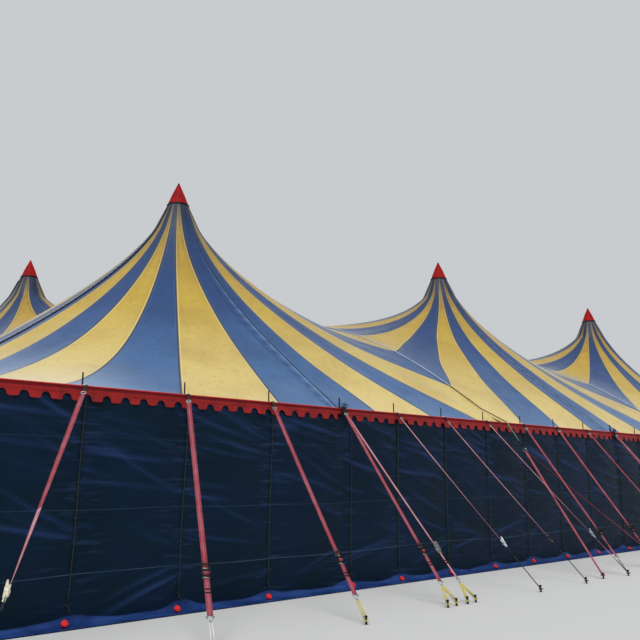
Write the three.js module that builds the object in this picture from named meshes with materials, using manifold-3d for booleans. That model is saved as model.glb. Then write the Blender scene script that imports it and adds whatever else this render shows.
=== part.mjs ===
// A circus big top with six king poles in two rows, laced canopy sections, walls, side poles and guys.
// Millimetres, +Z up, the long front side faces -Y, origin on the ground under the middle of the tent.
import * as THREE from "three";
import { mergeVertices } from "three/addons/utils/BufferGeometryUtils.js";
import Module from "manifold-3d";

const wasm = await Module();
wasm.setup();

// Driving dimensions: plan
const bay = 10500; // between king poles along the tent
const rowGap = 9000; // between the two rows of king poles
const sideRun = 5700; // king poles to the long walls
const endRun = 6700; // king poles to the end walls
const halfLength = bay + endRun;
const halfDepth = rowGap / 2 + sideRun;
const kingXs = [-bay, 0, bay];
const kingYs = [-rowGap / 2, rowGap / 2];

// Driving dimensions: heights
const eaveHeight = 3110;
const crownHeight = 8610;
const valleyRise = 4020;
const valleyReach = 5440;

// Driving dimensions: thicknesses and sections, measured outward from the wall line
const seamGap = 0.3;
const canopyThickness = 25;
const clothThickness = 8;
const beltInner = -100;
const beltOuter = 40;
const beltThickness = 10;
const hemThickness = 9.7;
const hemTop = eaveHeight + 15;
const hemHeight = 105;
const valanceHeight = 107;
const valanceThickness = 6;
const hemInset = 3;
const skirtReach = 330;
const sidePoleRadius = 38;
const sidePoleOffset = -50;
const spikeRadius = 14;
const spikeRise = 220;
const ringRadius = 270;
const steepCrown = 600; // radius of the steep cone under the head ring
const crownSlope = 2.18; // and its fall per unit of radius

// Driving dimensions: guys
const sideReach = 2700;
const bigPoleReach = 2600;
const endReach = 2450;
const endBigPoleReach = 2500;
const strapWidth = 70;
const strapThickness = 12;
const ratchetLength = 220;
const ratchetDepth = 70;
const stakeRadius = 18;
const stakeHeight = 110;
const strapFootHeight = 50; // where a strap meets its stake
const ratchetShare = 0.735; // how far down the guy the ratchet sits
const bayLeans = [420, 450, 600, -900, -980, -330];
const endLeans = [620, 1340, 2200, 2300];
const bigPoleLeans = [-350, 130];

const colours = {
  canopy: [0x4a67a0, 0.55, 0],
  wall: [0x101f3a, 0.5, 0],
  red: [0xa02a2a, 0.55, 0],
  strap: [0xbe4b55, 0.7, 0],
  steel: [0x8d9094, 0.4, 0.8],
  rope: [0x35402f, 0.8, 0],
};

function material(name) {
  const [color, roughness, metalness] = colours[name];
  return new THREE.MeshStandardMaterial({ color, roughness, metalness });
}

const tent = new THREE.Group();

function place(name, geometry, look, turn = 0) {
  const mesh = new THREE.Mesh(geometry, material(look));
  mesh.name = name;
  mesh.rotation.z = turn;
  tent.add(mesh);
  return mesh;
}

// Joining and cutting

function toSolid(geometry) {
  const bare = geometry.clone();
  bare.deleteAttribute("normal");
  bare.deleteAttribute("uv");
  const merged = mergeVertices(bare, 1e-3);
  return new wasm.Manifold(
    new wasm.Mesh({
      numProp: 3,
      vertProperties: new Float32Array(merged.attributes.position.array),
      triVerts: new Uint32Array(merged.index.array),
    }),
  );
}

function toGeometry(solid) {
  const { vertProperties, triVerts } = solid.getMesh();
  const geometry = new THREE.BufferGeometry();
  geometry.setAttribute("position", new THREE.BufferAttribute(vertProperties, 3));
  geometry.setIndex(new THREE.BufferAttribute(triVerts, 1));
  return geometry;
}

function fuse(geometries) {
  return toGeometry(geometries.map(toSolid).reduce((whole, next) => whole.add(next)));
}

// Simple shapes

function box(low, high) {
  const size = high.map((value, axis) => value - low[axis]);
  const middle = high.map((value, axis) => (value + low[axis]) / 2);
  return new THREE.BoxGeometry(...size).translate(...middle);
}

function post(x, y, low, high, radius, sides) {
  return new THREE.CylinderGeometry(radius, radius, high - low, sides)
    .rotateX(Math.PI / 2)
    .translate(x, y, (low + high) / 2);
}

// A straight bar between two points, its width lying as near as it can to the X axis.
function bar(from, to, width, thickness) {
  const along = to.clone().sub(from).normalize();
  const side = new THREE.Vector3(1, 0, 0);
  side.addScaledVector(along, -side.dot(along)).normalize();
  const frame = new THREE.Matrix4().makeBasis(side, along.clone().cross(side), along);
  frame.setPosition(from.clone().add(to).multiplyScalar(0.5));
  return new THREE.BoxGeometry(width, thickness, from.distanceTo(to)).applyMatrix4(frame);
}

// The membrane: heights relaxed on a grid over one quarter of the tent, steeper near the king poles

const gridStep = 150;
const canopyHalfLength = halfLength + beltInner;
const canopyHalfDepth = halfDepth + beltInner;
const gridColumns = Math.round(canopyHalfLength / gridStep);
const gridRows = Math.round(canopyHalfDepth / gridStep);
const stepX = canopyHalfLength / gridColumns;
const stepY = canopyHalfDepth / gridRows;
const valleyColumn = Math.round(bay / 2 / stepX);
const relaxationSweeps = 400;
const overRelaxation = 1.9;
const gridNeighbours = [[1, 0, stepX], [-1, 0, stepX], [0, 1, stepY], [0, -1, stepY]];

function valleyHeight(y) {
  return eaveHeight + valleyRise * Math.tanh((canopyHalfDepth - Math.abs(y)) / valleyReach);
}

function radialSlope(radius) {
  const metres = radius / 1000;
  return 0.42 + 1.65 * Math.exp(-((metres / 2.4) ** 1.2)) + 1.24 * Math.exp(-((metres / 0.87) ** 2));
}

function distanceToKing(x, y) {
  return Math.min(...kingXs.map((kingX) => Math.hypot(x - kingX, Math.abs(y) - rowGap / 2)));
}

function tension(x, y) {
  const radius = Math.max(distanceToKing(x, y), steepCrown);
  return 1000 / (radius * radialSlope(radius));
}

function relaxMembrane() {
  const heights = [];
  const fixed = [];
  for (let i = 0; i <= gridColumns; i++) {
    heights.push(new Float64Array(gridRows + 1).fill(eaveHeight + valleyRise / 2));
    fixed.push(new Uint8Array(gridRows + 1));
    for (let j = 0; j <= gridRows; j++) {
      const radius = distanceToKing(i * stepX, j * stepY);
      let held = null;
      if (i === gridColumns || j === gridRows) held = eaveHeight;
      else if (i === valleyColumn) held = valleyHeight(j * stepY);
      else if (radius <= steepCrown) held = crownHeight - crownSlope * (radius - ringRadius);
      if (held !== null) {
        heights[i][j] = held;
        fixed[i][j] = 1;
      }
    }
  }
  const free = [];
  for (let i = 0; i < gridColumns; i++) {
    for (let j = 0; j < gridRows; j++) {
      if (fixed[i][j]) continue;
      const pulls = gridNeighbours.map(([di, dj, step]) => ({
        column: heights[Math.abs(i + di)],
        row: Math.abs(j + dj),
        share: tension((i + di / 2) * stepX, (j + dj / 2) * stepY) / step ** 2,
      }));
      const weight = pulls.reduce((sum, pull) => sum + pull.share, 0);
      free.push({ i, j, pulls, weight });
    }
  }
  for (let sweep = 0; sweep < relaxationSweeps; sweep++) {
    for (const { i, j, pulls, weight } of free) {
      let pull = 0;
      for (const { column, row, share } of pulls) pull += share * column[row];
      heights[i][j] += overRelaxation * (pull / weight - heights[i][j]);
    }
  }
  return heights;
}

const membrane = relaxMembrane();

function sailHeight(x, y) {
  const radius = distanceToKing(Math.abs(x), y);
  if (radius <= steepCrown) return crownHeight - crownSlope * (radius - ringRadius);
  const across = Math.abs(x) / stepX;
  const down = Math.abs(y) / stepY;
  const i = Math.min(Math.floor(across), gridColumns - 1);
  const j = Math.min(Math.floor(down), gridRows - 1);
  const a = Math.min(across - i, 1);
  const b = Math.min(down - j, 1);
  const near = membrane[i][j] * (1 - b) + membrane[i][j + 1] * b;
  const far = membrane[i + 1][j] * (1 - b) + membrane[i + 1][j + 1] * b;
  return near * (1 - a) + far * a;
}

// Canopy sections: each runs from front eave to back eave, laced to the next on the king poles' line

const radialSteps = 6;
const anglesToFrontCorner = 5;
const anglesAlongSide = 7;
const anglesToMiddle = 4;

// Directions from a king pole that meet the corners of its patch exactly.
function patchAngles(width) {
  const frontCorner = Math.atan2(width, sideRun + beltInner);
  const middleCorner = Math.PI - Math.atan2(width, rowGap / 2);
  const angles = [];
  for (let k = 0; k < anglesToFrontCorner; k++) angles.push((frontCorner * k) / anglesToFrontCorner);
  for (let k = 0; k < anglesAlongSide; k++) {
    angles.push(frontCorner + ((middleCorner - frontCorner) * k) / anglesAlongSide);
  }
  for (let k = 0; k <= anglesToMiddle; k++) {
    angles.push(middleCorner + ((Math.PI - middleCorner) * k) / anglesToMiddle);
  }
  return angles;
}

// The half patch of canopy on one side of a king pole, as a grid of rays and steps.
function addPatch(skin, kingX, kingY, sideX, width) {
  const front = Math.sign(kingY);
  const angles = patchAngles(width);
  const rays = angles.map((angle, ray) => {
    const alongX = Math.sin(angle);
    const outward = Math.cos(angle);
    const depth = outward > 0 ? sideRun + beltInner : rowGap / 2;
    const reach = Math.min(width / Math.max(alongX, 1e-9), depth / Math.max(Math.abs(outward), 1e-9));
    const atLacing = ray === 0 || ray === angles.length - 1;
    const points = [];
    for (let step = 0; step <= radialSteps; step++) {
      const radius = ringRadius + (reach - ringRadius) * (step / radialSteps) ** 1.4;
      const x = atLacing ? kingX + (sideX * seamGap) / 2 : kingX + sideX * radius * alongX;
      const y = kingY + front * radius * outward;
      const edge = Math.min(Math.abs(y), canopyHalfDepth - seamGap);
      points.push(skin.point(x, Math.sign(y) * edge, sailHeight(x, y)));
    }
    return points;
  });
  for (let ray = 0; ray + 1 < rays.length; ray++) {
    for (let step = 0; step < radialSteps; step++) {
      const quad = [rays[ray][step], rays[ray][step + 1], rays[ray + 1][step + 1], rays[ray + 1][step]];
      skin.quad(quad, sideX * front > 0);
    }
  }
}

// Collects one open surface with its shared points merged.
class Skin {
  constructor() {
    this.points = [];
    this.triangles = [];
    this.found = new Map();
  }

  point(x, y, z) {
    const key = `${Math.round(x * 10)},${Math.round(y * 10)}`;
    if (!this.found.has(key)) {
      this.found.set(key, this.points.length);
      this.points.push([x, y, z]);
    }
    return this.found.get(key);
  }

  quad([a, b, c, d], flipped) {
    const corners = flipped ? [[a, c, b], [a, d, c]] : [[a, b, c], [a, c, d]];
    this.triangles.push(...corners);
  }

  // Closes the surface into a shell of the given thickness below it.
  shell(thickness) {
    const count = this.points.length;
    const positions = [
      ...this.points.flat(),
      ...this.points.flatMap(([x, y, z]) => [x, y, z - thickness]),
    ];
    const edges = new Set(this.triangles.flatMap(([a, b, c]) => [`${a} ${b}`, `${b} ${c}`, `${c} ${a}`]));
    const indices = [];
    for (const [a, b, c] of this.triangles) {
      indices.push(a, b, c, a + count, c + count, b + count);
      for (const [from, to] of [[a, b], [b, c], [c, a]]) {
        if (edges.has(`${to} ${from}`)) continue;
        indices.push(from, from + count, to + count, from, to + count, to);
      }
    }
    const geometry = new THREE.BufferGeometry();
    geometry.setAttribute("position", new THREE.Float32BufferAttribute(positions, 3));
    geometry.setIndex(indices);
    return geometry;
  }
}

function canopySection(patches) {
  const skin = new Skin();
  for (const [kingX, sideX, width] of patches) {
    for (const kingY of kingYs) addPatch(skin, kingX, kingY, sideX, width);
  }
  return skin.shell(canopyThickness);
}

const endWidth = endRun + beltInner - seamGap;
place("canopy_end_left", canopySection([[-bay, -1, endWidth]]), "canopy");
place("canopy_bay_left", canopySection([[-bay, 1, bay / 2], [0, -1, bay / 2]]), "canopy");
place("canopy_bay_right", canopySection([[0, 1, bay / 2], [bay, -1, bay / 2]]), "canopy");
place("canopy_end_right", canopySection([[bay, 1, endWidth]]), "canopy");

// King poles with their foot plates and head rings, and the cone caps over them

const headPlateThickness = 60;
const headPlateRadius = 290;
const kingPoleRadius = 100;
const footPlateSize = 500;
const footPlateThickness = 20;
const capHeight = 570;
const tipRadius = 28;

function kingPole() {
  const headLow = crownHeight + 2 * seamGap;
  return fuse([
    box([-footPlateSize / 2, -footPlateSize / 2, 0], [footPlateSize / 2, footPlateSize / 2, footPlateThickness]),
    post(0, 0, footPlateThickness / 2, headLow + headPlateThickness / 2, kingPoleRadius, 12),
    post(0, 0, headLow, headLow + headPlateThickness, headPlateRadius, 24),
  ]);
}

function capProfile() {
  const base = crownHeight + headPlateThickness + 3 * seamGap;
  const rim = headPlateRadius - 25;
  return [
    new THREE.Vector2(0, base),
    new THREE.Vector2(rim, base),
    new THREE.Vector2(rim * 0.57, base + capHeight * 0.5),
    new THREE.Vector2(tipRadius, base + capHeight * 0.94),
    new THREE.Vector2(tipRadius, base + capHeight),
    new THREE.Vector2(0, base + capHeight),
  ];
}

kingYs.forEach((kingY, row) => {
  kingXs.forEach((kingX, column) => {
    const spot = `${["front", "back"][row]}_${["left", "middle", "right"][column]}`;
    place(`king_pole_${spot}`, kingPole(), "steel").position.set(kingX, kingY, 0);
    const cap = new THREE.LatheGeometry(capProfile(), 14).rotateX(Math.PI / 2);
    place(`peak_cap_${spot}`, cap, "red").position.set(kingX, kingY, 0);
  });
});

// Stations of the side poles along one side, each with the leans of its guys

function stretch(from, to, count) {
  return Array.from({ length: count }, (_, k) => from + ((to - from) * (k + 1)) / (count + 1));
}

function longStations() {
  const stations = [];
  for (const side of [-1, 1]) {
    const leans = endLeans.map((lean) => [side * lean]);
    stretch(side * bay, side * halfLength, 3).forEach((s, k) => stations.push({ s, leans: leans[k] }));
    stations.push({ s: side * (halfLength + sidePoleOffset), leans: leans[3] });
  }
  kingXs.forEach((s) => stations.push({ s, leans: bigPoleLeans, big: true }));
  for (const start of [-bay, 0]) {
    stretch(start, start + bay, 6).forEach((s, k) => stations.push({ s, leans: [bayLeans[k]] }));
  }
  return stations.sort((one, other) => one.s - other.s);
}

function endStations() {
  const inner = stretch(kingYs[0], kingYs[1], 5).map((s) => ({ s, leans: [0] }));
  const outer = [-1, 1].flatMap((side) => stretch((side * rowGap) / 2, side * halfDepth, 3));
  const big = kingYs.map((s) => ({ s, leans: bigPoleLeans, big: true }));
  return [...inner, ...outer.map((s) => ({ s, leans: [0] })), ...big].sort((one, other) => one.s - other.s);
}

// One side of the tent, drawn as the front with its wall line at y = -depth, then turned into place
const longSide = {
  depth: halfDepth,
  stations: longStations(),
  beltHalf: halfLength + beltOuter,
  hemHalf: halfLength + beltOuter + seamGap + hemThickness,
  reach: sideReach,
  bigReach: bigPoleReach,
};
const endSide = {
  depth: halfLength,
  stations: endStations(),
  beltHalf: halfDepth + beltInner - seamGap,
  hemHalf: halfDepth + beltOuter,
  reach: endReach,
  bigReach: endBigPoleReach,
};

function sidePoles({ depth, stations, beltHalf }) {
  const beltLow = eaveHeight - beltThickness;
  const belt = box([-beltHalf, -depth - beltOuter, beltLow], [beltHalf, -depth - beltInner, eaveHeight]);
  const y = -depth - sidePoleOffset;
  const poles = stations.flatMap(({ s }) => [
    post(s, y, 0, beltLow + beltThickness / 2, sidePoleRadius, 6),
    post(s, y, beltLow + beltThickness / 2, eaveHeight + spikeRise, spikeRadius, 4),
  ]);
  return fuse([belt, ...poles]);
}

// One guy seen from its side: strap, ratchet lump and stake in one outline, extruded to the strap's width.
function guy(top, foot, hasRatchet) {
  const run = Math.hypot(foot.x - top.x, foot.y - top.y);
  const drop = top.z - foot.z;
  const length = Math.hypot(run, drop);
  const onSide = (share, lift) =>
    new THREE.Vector2(run * share + (lift * drop) / length, top.z - drop * share + (lift * run) / length);
  const half = strapThickness / 2;
  const ratchetEnd = ratchetShare + ratchetLength / length;
  const ratchet = [
    onSide(ratchetShare, half),
    onSide(ratchetShare, ratchetDepth),
    onSide(ratchetEnd, ratchetDepth),
    onSide(ratchetEnd, half),
  ];
  const stakeFace = 1 - stakeRadius / run;
  const outline = new THREE.Shape([
    onSide(0, half),
    ...(hasRatchet ? ratchet : []),
    onSide(stakeFace, half),
    new THREE.Vector2(run - stakeRadius, stakeHeight),
    new THREE.Vector2(run + stakeRadius, stakeHeight),
    new THREE.Vector2(run + stakeRadius, 0),
    new THREE.Vector2(run - stakeRadius, 0),
    onSide(stakeFace, -half),
    onSide(0, -half),
  ]);
  return new THREE.ExtrudeGeometry(outline, { depth: strapWidth, bevelEnabled: false })
    .translate(0, 0, -strapWidth / 2)
    .rotateX(Math.PI / 2)
    .rotateZ(Math.atan2(foot.y - top.y, foot.x - top.x))
    .translate(top.x, top.y, 0);
}

function sideGuy(depth, s, lean, reach) {
  const top = new THREE.Vector3(s, -depth - beltOuter - hemThickness / 2, hemTop - hemHeight * 0.5);
  return guy(top, new THREE.Vector3(s + lean, -depth - reach, strapFootHeight), true);
}

function hemAndGuys({ depth, stations, hemHalf, reach, bigReach }) {
  const inner = -depth - beltOuter - seamGap;
  const band = box([-hemHalf, inner - hemThickness, hemTop - hemHeight], [hemHalf, inner, hemTop]);
  const guys = stations.flatMap(({ s, leans, big }) =>
    leans.map((lean) => sideGuy(depth, s, lean, big ? bigReach : reach)),
  );
  return fuse([band, ...guys]);
}

// The flap below the hem band.
function valance({ depth, hemHalf }) {
  const half = hemHalf - hemInset;
  const top = hemTop - hemHeight - seamGap;
  const inner = -depth - beltOuter - 1;
  return box([-half, inner - valanceThickness, top - valanceHeight], [half, inner, top]);
}

// Wall cloth hanging from the belt, with its skirt lying outward on the ground: one section drawn out.
function wall(depth, from, to) {
  const inner = clothThickness;
  const outer = inner + clothThickness;
  const top = eaveHeight - beltThickness - seamGap;
  const section = new THREE.Shape([
    new THREE.Vector2(inner, 0),
    new THREE.Vector2(skirtReach, 0),
    new THREE.Vector2(skirtReach, clothThickness),
    new THREE.Vector2(outer, clothThickness),
    new THREE.Vector2(outer, top),
    new THREE.Vector2(inner, top),
  ]);
  return new THREE.ExtrudeGeometry(section, { depth: to - from, bevelEnabled: false })
    .rotateX(Math.PI / 2)
    .rotateZ(-Math.PI / 2)
    .translate(to, -depth, 0);
}

const wallEnd = halfLength + 2 * clothThickness;
const wallEdges = [-wallEnd, ...kingXs, wallEnd];
const panelNames = ["end_left", "bay_left", "bay_right", "end_right"];

// Panels are named from left to right as the front is seen, so the turned back takes the names in reverse.
function longWalls(side, names, turn) {
  names.forEach((panel, k) => {
    const from = wallEdges[k] + (k > 0 ? seamGap / 2 : 0);
    const to = wallEdges[k + 1] - (k < 3 ? seamGap / 2 : 0);
    place(`wall_${side}_${panel}`, wall(halfDepth, from, to), "wall", turn);
  });
}

const endWallHalf = halfDepth + clothThickness - seamGap;
longWalls("front", panelNames, 0);
longWalls("back", [...panelNames].reverse(), Math.PI);
for (const [name, turn] of [["left", -Math.PI / 2], ["right", Math.PI / 2]]) {
  place(`wall_${name}`, wall(halfLength, -endWallHalf, endWallHalf), "wall", turn);
}

const sides = [
  ["front", longSide, 0],
  ["back", longSide, Math.PI],
  ["left", endSide, -Math.PI / 2],
  ["right", endSide, Math.PI / 2],
];
for (const [name, side, turn] of sides) {
  place(`side_poles_${name}`, sidePoles(side), "steel", turn);
  place(`hem_and_guys_${name}`, hemAndGuys(side), "strap", turn);
  place(`valance_${name}`, valance(side), "red", turn);
}

// Valley ropes: over the low line between king poles, over both eaves, to shackles and straps

const valleyRopeRadius = 15;
const shackleSize = [90, 60, 90];
const valleyRopeLift = 34;
const valleyRopeBend = 9.9; // how far past the hem band's top corner the rope's axis turns down
const valleyRopeSeat = 13.3; // and how far above it
const shackleOut = 510;
const shackleHeight = 2480;
const valleyStrapLeans = [-960, 1850];
const valleyStrapReach = 2600;

function squareCorners(half) {
  const corners = [[-half, -half], [half, -half], [half, half], [-half, half]];
  return corners.map(([x, y]) => new THREE.Vector2(x, y));
}

function valleyRope(x) {
  const halfRoute = [];
  const spacing = 500;
  const count = Math.floor(canopyHalfDepth / spacing);
  for (let k = 0; k <= count; k++) {
    halfRoute.push([k * spacing, valleyHeight(k * spacing) + valleyRopeLift]);
  }
  const points = [
    ...halfRoute.slice(1).reverse().map(([y, z]) => new THREE.Vector3(x, -y, z)),
    ...halfRoute.map(([y, z]) => new THREE.Vector3(x, y, z)),
  ];
  const route = new THREE.CurvePath();
  for (let k = 0; k + 1 < points.length; k++) route.add(new THREE.LineCurve3(points[k], points[k + 1]));
  const section = new THREE.Shape(squareCorners(valleyRopeRadius));
  const pieces = [new THREE.ExtrudeGeometry(section, { steps: points.length - 1, extrudePath: route })];
  for (const side of [-1, 1]) {
    const end = side < 0 ? points[0] : points[points.length - 1];
    const overHem = new THREE.Vector3(
      x,
      side * (halfDepth + beltOuter + seamGap + hemThickness + valleyRopeBend),
      hemTop + valleyRopeSeat,
    );
    const shackle = new THREE.Vector3(x, side * (halfDepth + shackleOut), shackleHeight);
    pieces.push(bar(end, overHem, valleyRopeRadius * 2, valleyRopeRadius * 2));
    pieces.push(bar(overHem, shackle, valleyRopeRadius * 2, valleyRopeRadius * 2));
    pieces.push(new THREE.BoxGeometry(...shackleSize).translate(shackle.x, shackle.y, shackle.z));
    for (const lean of valleyStrapLeans) {
      const foot = new THREE.Vector3(x - side * lean, side * (halfDepth + valleyStrapReach), strapFootHeight);
      pieces.push(guy(shackle, foot, false));
    }
  }
  return fuse(pieces);
}

// A valley rope is two nodes, which meet over the middle of the tent.
function cutAtMiddle(geometry, side) {
  return toGeometry(toSolid(geometry).trimByPlane([0, side, 0], seamGap / 2));
}

for (const [column, x] of [["left", -bay / 2], ["right", bay / 2]]) {
  const rope = valleyRope(x);
  place(`valley_rope_front_${column}`, cutAtMiddle(rope, -1), "rope");
  place(`valley_rope_back_${column}`, cutAtMiddle(rope, 1), "rope");
}

export default tent;
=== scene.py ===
import math

import bpy
import numpy as np
from mathutils import Matrix, Vector


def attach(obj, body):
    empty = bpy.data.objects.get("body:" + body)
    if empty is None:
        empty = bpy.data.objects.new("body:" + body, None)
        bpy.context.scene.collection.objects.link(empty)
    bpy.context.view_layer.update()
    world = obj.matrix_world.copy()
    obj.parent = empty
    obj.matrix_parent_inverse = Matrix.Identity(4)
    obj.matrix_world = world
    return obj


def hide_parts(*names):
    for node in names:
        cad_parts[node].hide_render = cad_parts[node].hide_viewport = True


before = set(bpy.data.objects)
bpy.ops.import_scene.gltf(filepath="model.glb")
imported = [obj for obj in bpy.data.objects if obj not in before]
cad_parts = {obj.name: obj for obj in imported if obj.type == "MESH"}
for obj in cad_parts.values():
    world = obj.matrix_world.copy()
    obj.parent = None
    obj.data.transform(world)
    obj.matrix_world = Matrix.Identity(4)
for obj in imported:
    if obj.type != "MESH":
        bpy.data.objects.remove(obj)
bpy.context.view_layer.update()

# Main sizes, the same as in the part's source
BAY = 10.5
ROW_HALF = 4.5
SIDE_RUN = 5.7
END_RUN = 6.7
HALF_LENGTH = BAY + END_RUN
HALF_DEPTH = ROW_HALF + SIDE_RUN
EAVE = 3.11
CROWN = 8.61
CROWN_SLOPE = 2.18
VALLEY_RISE = 4.02
VALLEY_REACH = 5.44
RING = 0.27
STEEP_CROWN = 0.6
CANOPY_HALF_LENGTH = HALF_LENGTH - 0.1
CANOPY_HALF_DEPTH = HALF_DEPTH - 0.1
KING_XS = (-BAY, 0.0, BAY)
HEM_TOP = 3.125
HEM_HEIGHT = 0.105
VALANCE_HEIGHT = 0.107
SPIKE_RISE = 0.22
STRAP_FOOT = 0.05
STAKE_HEIGHT = 0.11
SIDE_REACH = 2.7
BIG_REACH = 2.6
END_REACH = 2.45
END_BIG_REACH = 2.5
BAY_LEANS = (0.42, 0.45, 0.6, -0.9, -0.98, -0.33)
END_LEANS = (0.62, 1.34, 2.2, 2.3)
BIG_LEANS = (-0.35, 0.13)
VALLEY_LEANS = (-0.96, 1.85)
VALLEY_STRAP_REACH = 2.6
SHACKLE_OUT = 0.51
SHACKLE_HEIGHT = 2.48


def scene_object(name, data):
    made = bpy.data.objects.new(name, data)
    bpy.context.scene.collection.objects.link(made)
    return made


# Camera: fitted to the photograph from the poles, the eave and the ground


def make_camera():
    heading, pitch, roll = math.radians(46.6), math.radians(12.27), math.radians(-0.48)
    level = Vector((math.cos(heading), math.sin(heading), 0.0))
    right = Vector((math.sin(heading), -math.cos(heading), 0.0))
    forward = level * math.cos(pitch) + Vector((0, 0, math.sin(pitch)))
    up = Vector((0, 0, math.cos(pitch))) - level * math.sin(pitch)
    across = right * math.cos(roll) + up * math.sin(roll)
    upward = up * math.cos(roll) - right * math.sin(roll)
    rotation = Matrix((across, upward, -forward)).transposed().to_4x4()
    data = bpy.data.cameras.new("camera")
    data.sensor_width = 36.0
    data.lens = 42.88
    data.clip_start, data.clip_end = 0.1, 600.0
    camera = scene_object("camera", data)
    camera.matrix_world = Matrix.Translation((-20.36, -20.08, 1.75)) @ rotation
    bpy.context.scene.camera = camera


make_camera()


# Materials, with colours in sRGB from 0 to 255

LOOKS = []  # every material in the order of making; the faces of a build hold places in this list


def linear(rgb):
    return tuple(c / 255 / 12.92 if c <= 10 else ((c / 255 + 0.055) / 1.055) ** 2.4 for c in rgb) + (1.0,)


class Look:
    """A node material with short calls for the few nodes that the looks here need."""

    def __init__(self, name, rough, metal, specular):
        self.material = bpy.data.materials.new(name)
        self.material.use_nodes = True
        self.tree = self.material.node_tree
        self.shader = self.tree.nodes["Principled BSDF"].inputs
        self.fill(self.shader, {"Roughness": rough, "Metallic": metal, "Specular IOR Level": specular})
        LOOKS.append(self.material)

    def fill(self, sockets, values):
        """Links each named socket to the one given for it, or sets it to a number, a vector or a colour."""
        for name, value in values.items():
            if isinstance(value, bpy.types.NodeSocket):
                self.tree.links.new(value, sockets[name])
            else:
                sockets[name].default_value = linear(value) if sockets[name].type == "RGBA" else value

    def node(self, kind, values, output=0, **settings):
        made = self.tree.nodes.new("ShaderNode" + kind)
        for key, value in settings.items():
            setattr(made, key, value)
        self.fill(made.inputs, values)
        return made.outputs[output]

    def place(self, stretch=(1, 1, 1)):
        return self.node("Mapping", {"Vector": self.node("TexCoord", {}, "Object"), "Scale": stretch})

    def noise(self, scale, stretch=(1, 1, 1), detail=3.0, rough=0.55):
        values = {"Vector": self.place(stretch), "Scale": scale, "Detail": detail, "Roughness": rough}
        return self.node("TexNoise", values, "Fac")

    def ramp(self, value, low, high, to_low=0.0, to_high=1.0):
        values = {"Value": value, "From Min": low, "From Max": high, "To Min": to_low, "To Max": to_high}
        return self.node("MapRange", values, "Result")

    def mix(self, factor, one, other):
        """Mixes two colours: inputs 6 and 7 and output 2 are the ones for colours."""
        return self.node("Mix", {"Factor": factor, 6: one, 7: other}, 2, data_type="RGBA")

    def attribute(self, name):
        return self.node("Attribute", {}, "Fac", attribute_name=name)

    def calc(self, operation, one, other=0.0):
        return self.node("Math", {0: one, 1: other}, operation=operation)

    def times(self, one, other):
        return self.calc("MULTIPLY", one, other)

    def axis(self, name):
        return self.node("SeparateXYZ", {0: self.place()}, name)

    def paint(self, body, layers, *bumps):
        """Covers a colour with layers (share, colour), and adds bumps (height, strength, distance)."""
        for share, colour in layers:
            body = self.mix(share, body, colour)
        self.fill(self.shader, {"Base Color": body})
        below = {}
        for height, strength, distance in bumps:
            values = {"Height": height, "Strength": strength, "Distance": distance, **below}
            below = {"Normal": self.node("Bump", values, "Normal")}
        self.fill(self.shader, below)
        return self.material


def stripe_look(name, tone, pale, dirt, eave, lap, painted_shine):
    """Cloth that is pale near the eave, with a painted reflection of the sky on the ends of the tent, dirty
    toward the crown and along its seams, and with painted shade and a painted highlight on the laced flaps.
    """
    look = Look(name, 0.42, 0.0, 0.18)
    ramp, noise, times, attribute = look.ramp, look.noise, look.times, look.attribute
    rough = ramp(noise(3, detail=4), 0.3, 0.7, 0.36, 0.5)
    look.fill(look.shader, {"Roughness": rough, "Sheen Weight": 0.75, "Sheen Roughness": 0.2})
    height, seam = look.axis("Z"), attribute("seam")
    crown = ramp(height, 5.6, 8.4)
    streaks = ramp(noise(4, (1, 1, 0.2), 5), 0.25, 0.7, 0.25, 0.85)
    low = times(ramp(height, 3.1, 3.8, 0.6, 0.0), ramp(noise(0.5), 0.4, 0.65))
    ends = ramp(look.calc("ABSOLUTE", look.axis("X")), 13.8, 17.0, 0.0, 0.8)
    grime = times(ramp(seam, 0.0, 0.14, 1.0, 0.0), look.calc("ADD", crown, 0.1))
    layers = (
        (ramp(height, 3.1, 5.6, 1.0, 0.0), pale),
        (ramp(noise(0.8, detail=5), 0.42, 0.75, 0.0, 0.35), dirt),
        (ramp(noise(9, (1, 1, 0.25), 5), 0.52, 0.8, 0.0, 0.35), dirt),
        (times(crown, streaks), dirt),
        (low, eave),
        (ramp(seam, 0.04, 0.05, 0.4, 0.0), lap),
        # Painted reflection: toward both ends of the tent the cloth turns to its pale shine colour, as the
        # glare of the sky on the flanks there
        (ends, look.mix(ramp(height, 3.1, 4.6), painted_shine, tone)),
        (times(grime, 0.6), (44, 44, 50)),
        (ramp(height, 7.9, 8.6, 0.0, 0.6), (18, 28, 44)),
        # Painted shade in the dimples of a laced flap, then a painted highlight on its ridge, carried by the
        # skirt mark
        (ramp(attribute("crest"), 0.0, 1.0, 0.0, 0.85), (30, 50, 92)),
        (ramp(attribute("skirt"), 0.0, 1.0, 0.0, 0.45), (112, 142, 184)),
        (ramp(seam, 0.013, 0.024, 0.9, 0.0), (34, 42, 58)),
    )
    coarse, fine = (noise(5, detail=4), 0.25, 0.02), (noise(60, detail=2), 0.08, 0.004)
    return look.paint(tone, layers, coarse, fine)


# Heights of the welded seams in the walls, and how clearly they show
WALL_SEAMS = ((2.44, 0.16), (1.47, 0.22), (0.63, 0.55))


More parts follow.
